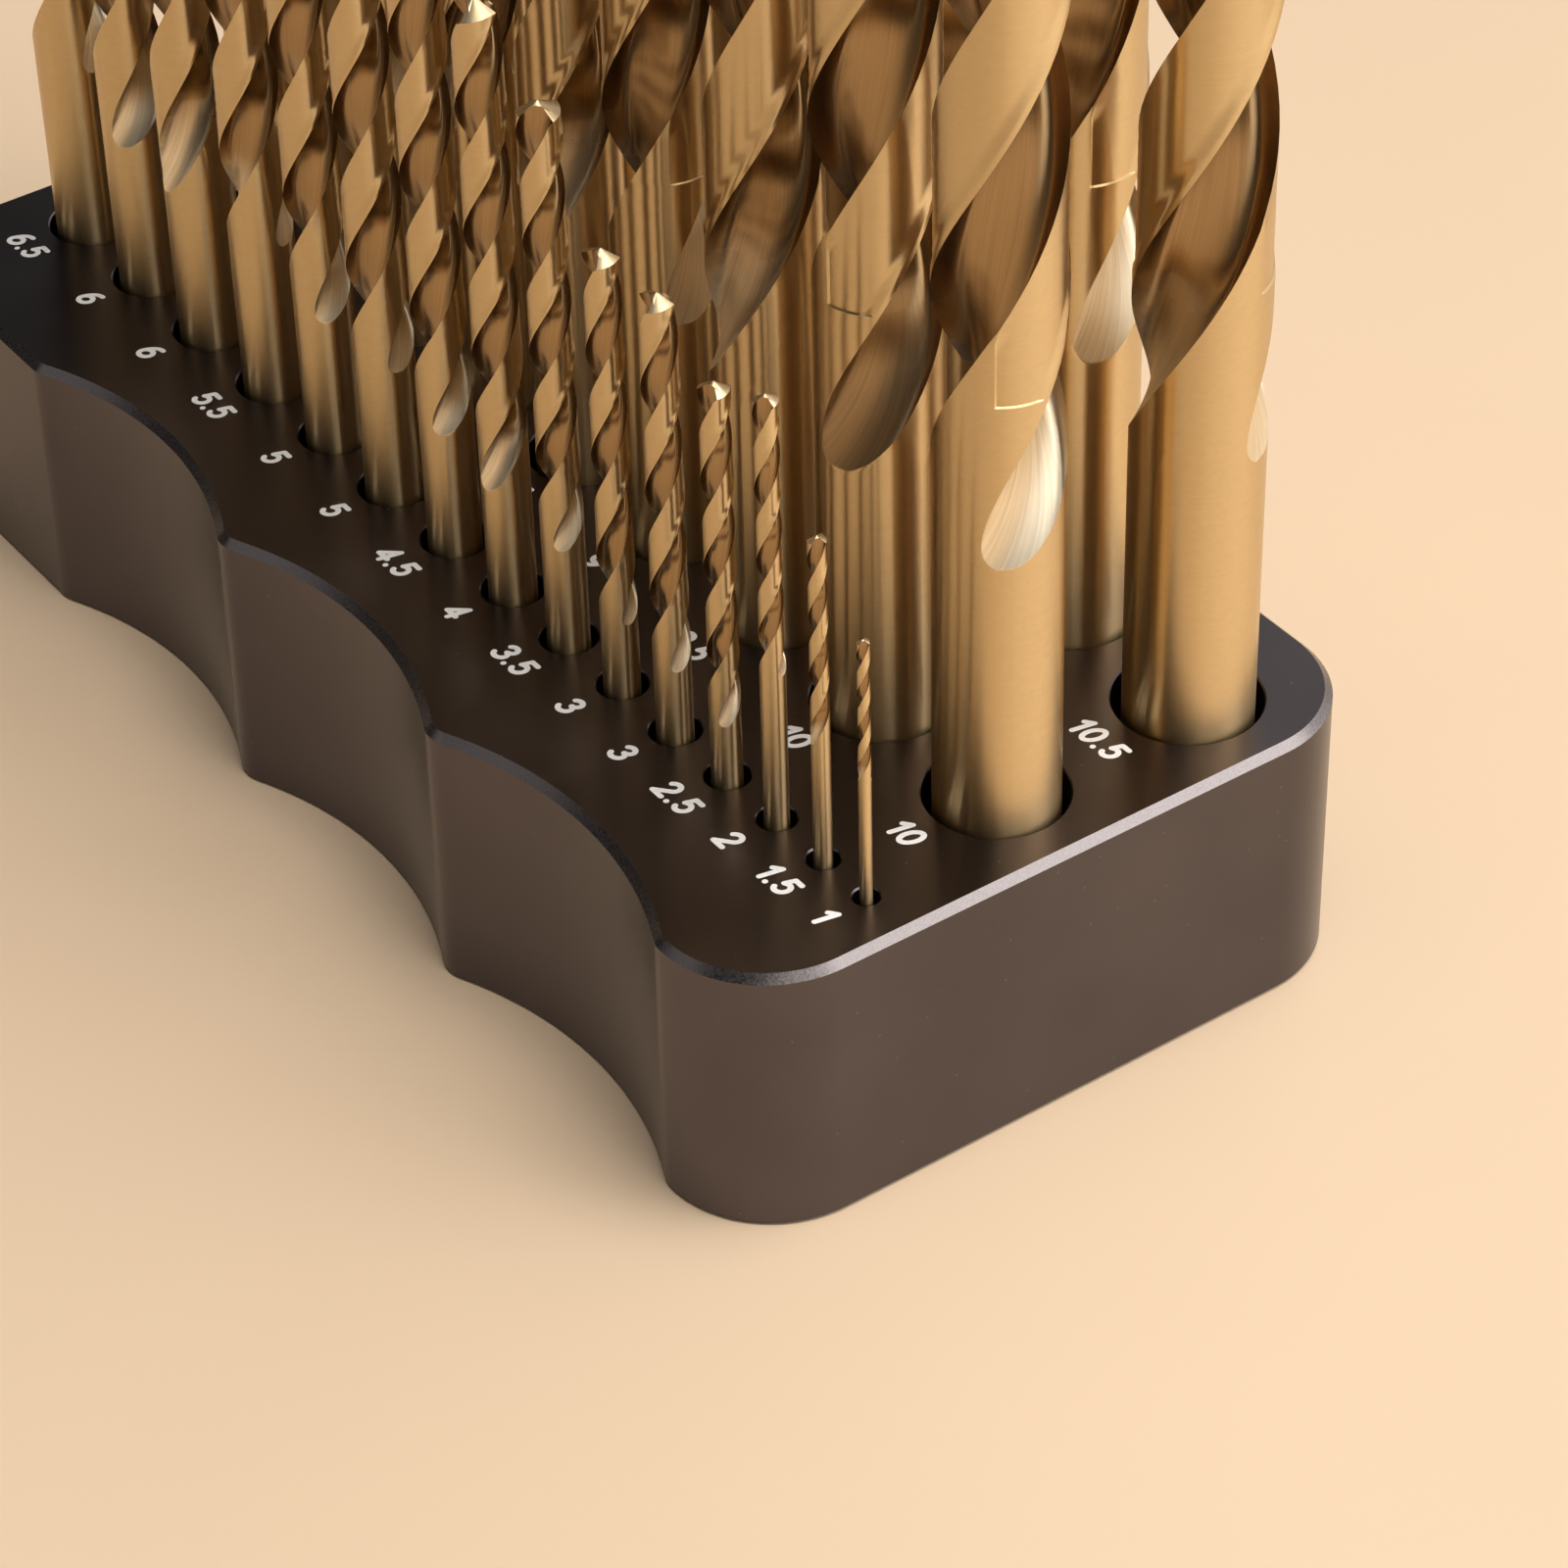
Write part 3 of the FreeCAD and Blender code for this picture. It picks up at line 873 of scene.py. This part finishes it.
# Each digit's width and the paths of the round cutter that makes it, one unit high
DIGITS = {
    "0": (0.60, [oval(0.30, 0.5, 0.30, 0.5, 90, 450)]),
    "1": (0.34, [[(0.04, 0.74), (0.32, 1.0), (0.32, 0.0)]]),
    "2": (0.60, [oval(0.30, 0.71, 0.28, 0.29, 160, -38) + [(0.0, 0.0), (0.60, 0.0)]]),
    "3": (0.58, [oval(0.28, 0.76, 0.26, 0.24, 155, -80) + oval(0.28, 0.27, 0.30, 0.27, 80, -155)]),
    "4": (0.62, [[(0.46, 0.0), (0.46, 1.0), (0.0, 0.27), (0.64, 0.27)]]),
    "5": (0.58, [[(0.54, 1.0), (0.13, 1.0), (0.07, 0.55)] + oval(0.29, 0.32, 0.29, 0.32, 125, -145)]),
    "6": (0.60, [SIX]),
    "7": (0.58, [[(0.0, 1.0), (0.58, 1.0), (0.16, 0.0)]]),
    "8": (0.60, [oval(0.30, 0.76, 0.25, 0.24, 0, 360), oval(0.30, 0.27, 0.30, 0.27, 0, 360)]),
    "9": (0.60, [[(0.60 - x, 1 - y) for x, y in SIX]]),
    ".": (0.0, [[(0.0, 0.0), (0.0, 0.01)]]),
}


def number_mesh(settings, name, text):
    """Flat slanted number, centred on the origin: the union of round-ended strokes."""
    height = settings.cap_height - settings.stroke
    gap = settings.stroke * (1 + settings.spacing)
    length = sum(DIGITS[letter][0] * height for letter in text) + gap * (len(text) - 1)
    corners, shapes = [], []

    def add_shape(points):
        shapes.append(list(range(len(corners), len(corners) + len(points))))
        corners.extend(Vector(point) for point in points)

    left = -length / 2
    for letter in text:
        width, paths = DIGITS[letter]
        for path in paths:
            spots = [(x, y - 0.5) for x, y in path]
            line = [Vector((left + x * height + y * height * settings.slant, y * height)) for x, y in spots]
            for spot in line:
                add_shape(arc_points(spot.x, spot.y, settings.stroke / 2, 0, 2 * math.pi, STROKE_STEPS)[:-1])
            for before, after in zip(line, line[1:]):
                across = (after - before).normalized().orthogonal() * settings.stroke / 2
                add_shape([before - across, before + across, after + across, after - across][::-1])
        left += width * height + gap
    points, _, triangles, _, _, owners = geometry.delaunay_2d_cdt(corners, [], shapes, 1, 10 * MERGED)
    kept = [triangle for triangle, owner in zip(triangles, owners) if owner]
    mesh = bpy.data.meshes.new(name)
    mesh.from_pydata([(point.x, point.y, 0) for point in points], [], kept)
    return mesh


class DRILLSTAND_OT_block(bpy.types.Operator):
    """Build the dark block with its holes"""

    bl_idname = "drillstand.block"
    bl_label = "Build Block"

    def execute(self, context):
        settings = context.scene.drill_stand_block
        build_block(settings, coated_finish(settings), bevel_finish(settings))
        return {"FINISHED"}


class DRILLSTAND_OT_drills(bpy.types.Operator):
    """Build every twist drill in its hole"""

    bl_idname = "drillstand.drills"
    bl_label = "Build Drills"

    def execute(self, context):
        settings = context.scene.drill_stand_drills
        materials = [
            steel_finish(
                "straw_shank", settings.steel, roughness=0.30, anisotropy=0.93, around=0.12, along=5.0,
                contrast=0.03, bump_strength=0.0,
            ),
            flute_finish(settings),
            steel_finish(
                "ground_point", settings.point, roughness=0.42, anisotropy=0.0, around=4.0, along=0.05,
                contrast=0.10, bump_strength=0.3,
            ),
        ]
        for name, diameter, x, y, foot, tip in drill_sizes():
            build_drill(settings, name, diameter, x, y, foot, tip, materials)
        return {"FINISHED"}


class DRILLSTAND_OT_numbers(bpy.types.Operator):
    """Mark each hole with its drill's size"""

    bl_idname = "drillstand.numbers"
    bl_label = "Mark Numbers"

    def execute(self, context):
        settings = context.scene.drill_stand_numbers
        block = context.scene.drill_stand_block
        paint = paint_finish(settings)
        for name, diameter, x, y, _, _ in drill_sizes():
            mesh = number_mesh(settings, f"number_{name}", f"{diameter / MM:g}")
            hole_x, hole_y = hole_centre(block, diameter, x, y)
            centre_y = hole_y - hole_radius(block, diameter) - settings.distance
            mesh.transform(Matrix.Translation((hole_x, centre_y, BLOCK_HIGH[2] + PAINT_HEIGHT)))
            mesh.materials.append(paint)
            piece = bpy.data.objects.new(f"number_{name}", mesh)
            context.scene.collection.objects.link(piece)
            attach(piece, "stand")
        return {"FINISHED"}


class DRILLSTAND_OT_studio(bpy.types.Operator):
    """Set up floor, soft light and camera"""

    bl_idname = "drillstand.studio"
    bl_label = "Set Up Studio"

    def execute(self, context):
        settings = context.scene.drill_stand_studio
        scene = context.scene
        scene.view_settings.view_transform = "Standard"

        mesh = bpy.data.meshes.new("floor")
        corners = [(FLOOR_REACH * x, FLOOR_REACH * y, 0) for x, y in ((-1, -1), (1, -1), (1, 1), (-1, 1))]
        mesh.from_pydata(corners, [], [(0, 1, 2, 3)])
        mesh.materials.append(floor_finish(settings))
        floor = bpy.data.objects.new("floor", mesh)
        floor.location = (0, 0, CAD_BOX[0][2] - FLOOR_GAP)
        scene.collection.objects.link(floor)

        world = bpy.data.worlds.new("soft_room")
        scene.world = world
        world.use_nodes = True
        sheet = NodeSheet(world.node_tree)
        direction = sheet.add("ShaderNodeTexCoord").outputs["Generated"]
        rise = sheet.add("ShaderNodeSeparateXYZ", {0: direction}).outputs[2]
        room = sheet.ramp(rise, 0.0, ROOM_HEIGHT, ROOM_LOW, ROOM_HIGH)

        def bright_patch(middle, edge, full, brightness):
            facing = sheet.add("ShaderNodeVectorMath", {0: direction, 1: middle}, operation="DOT_PRODUCT")
            return sheet.ramp(facing.outputs["Value"], edge, full, 0.0, brightness)

        window, wall = bright_patch(*WINDOW, settings.window), bright_patch(*WALL, settings.wall)
        strength = sheet.math("ADD", room, sheet.math("ADD", window, wall))
        background = sheet.add("ShaderNodeBackground", {"Color": ROOM_COLOUR, "Strength": strength})
        sheet.add("ShaderNodeOutputWorld", {"Surface": background.outputs[0]})

        for name, (share, size, place, target, colour) in LAMPS.items():
            add_lamp(name, settings.key_power * share, size, place, target, colour)
        add_camera(settings)
        return {"FINISHED"}


def add_lamp(name, power, size, place, target, colour):
    """Square soft lamp at a place, aimed at a target."""
    lamp = bpy.data.lights.new(name, "AREA")
    lamp.energy = power
    lamp.size = size
    lamp.color = colour
    carrier = bpy.data.objects.new(name, lamp)
    carrier.location = place
    carrier.rotation_euler = (Vector(target) - Vector(place)).to_track_quat("-Z", "Y").to_euler()
    bpy.context.scene.collection.objects.link(carrier)


def add_camera(settings):
    """Camera that repeats the photograph's viewpoint, fitted to its drills and outline."""
    azimuth, elevation, roll = (math.radians(value) for value in CAMERA_ANGLES)
    target = Vector(CAMERA_TARGET) * MM
    level = math.cos(elevation)
    back = Vector((math.sin(azimuth) * level, -math.cos(azimuth) * level, math.sin(elevation)))
    level_right = Vector((math.cos(azimuth), math.sin(azimuth), 0))
    level_up = back.cross(level_right)
    right = math.cos(roll) * level_right + math.sin(roll) * level_up
    up = math.cos(roll) * level_up - math.sin(roll) * level_right
    lens = bpy.data.cameras.new("photo_camera")
    lens.lens = settings.focal_length
    lens.sensor_width = 36.0
    lens.sensor_fit = "HORIZONTAL"
    lens.clip_start = 0.01
    lens.clip_end = 20.0
    carrier = bpy.data.objects.new("photo_camera", lens)
    turned = Matrix((right, up, back)).transposed().to_4x4()
    carrier.matrix_world = Matrix.Translation(target + back * CAMERA_DISTANCE * MM) @ turned
    bpy.context.scene.collection.objects.link(carrier)
    bpy.context.scene.camera = carrier


class DRILLSTAND_PT_panel(bpy.types.Panel):
    bl_label = "Drill Bit Stand"
    bl_idname = "DRILLSTAND_PT_panel"
    bl_space_type = "VIEW_3D"
    bl_region_type = "UI"
    bl_category = "Drill Stand"

    def draw(self, context):
        layout = self.layout
        for part in PARTS:
            layout.operator(f"drillstand.{part}")
        for part in PARTS:
            group = getattr(context.scene, f"drill_stand_{part}")
            box = layout.box()
            for key in group.bl_rna.properties.keys():
                if key not in {"rna_type", "name"}:
                    box.prop(group, key)


# What the add-on builds, in this order, each with its settings
PARTS = {
    "block": BlockSettings, "drills": DrillSettings, "numbers": NumberSettings, "studio": StudioSettings,
}

CLASSES = (
    *PARTS.values(), DRILLSTAND_OT_block, DRILLSTAND_OT_drills, DRILLSTAND_OT_numbers, DRILLSTAND_OT_studio,
    DRILLSTAND_PT_panel,
)


def register():
    for kind in CLASSES:
        bpy.utils.register_class(kind)
    for part, kind in PARTS.items():
        setattr(bpy.types.Scene, f"drill_stand_{part}", bpy.props.PointerProperty(type=kind))


def unregister():
    for part in PARTS:
        delattr(bpy.types.Scene, f"drill_stand_{part}")
    for kind in reversed(CLASSES):
        bpy.utils.unregister_class(kind)


def main():
    register()
    bpy.ops.drillstand.block()
    bpy.ops.drillstand.drills()
    bpy.ops.drillstand.numbers()
    bpy.ops.drillstand.studio()


if __name__ == "__main__":
    main()
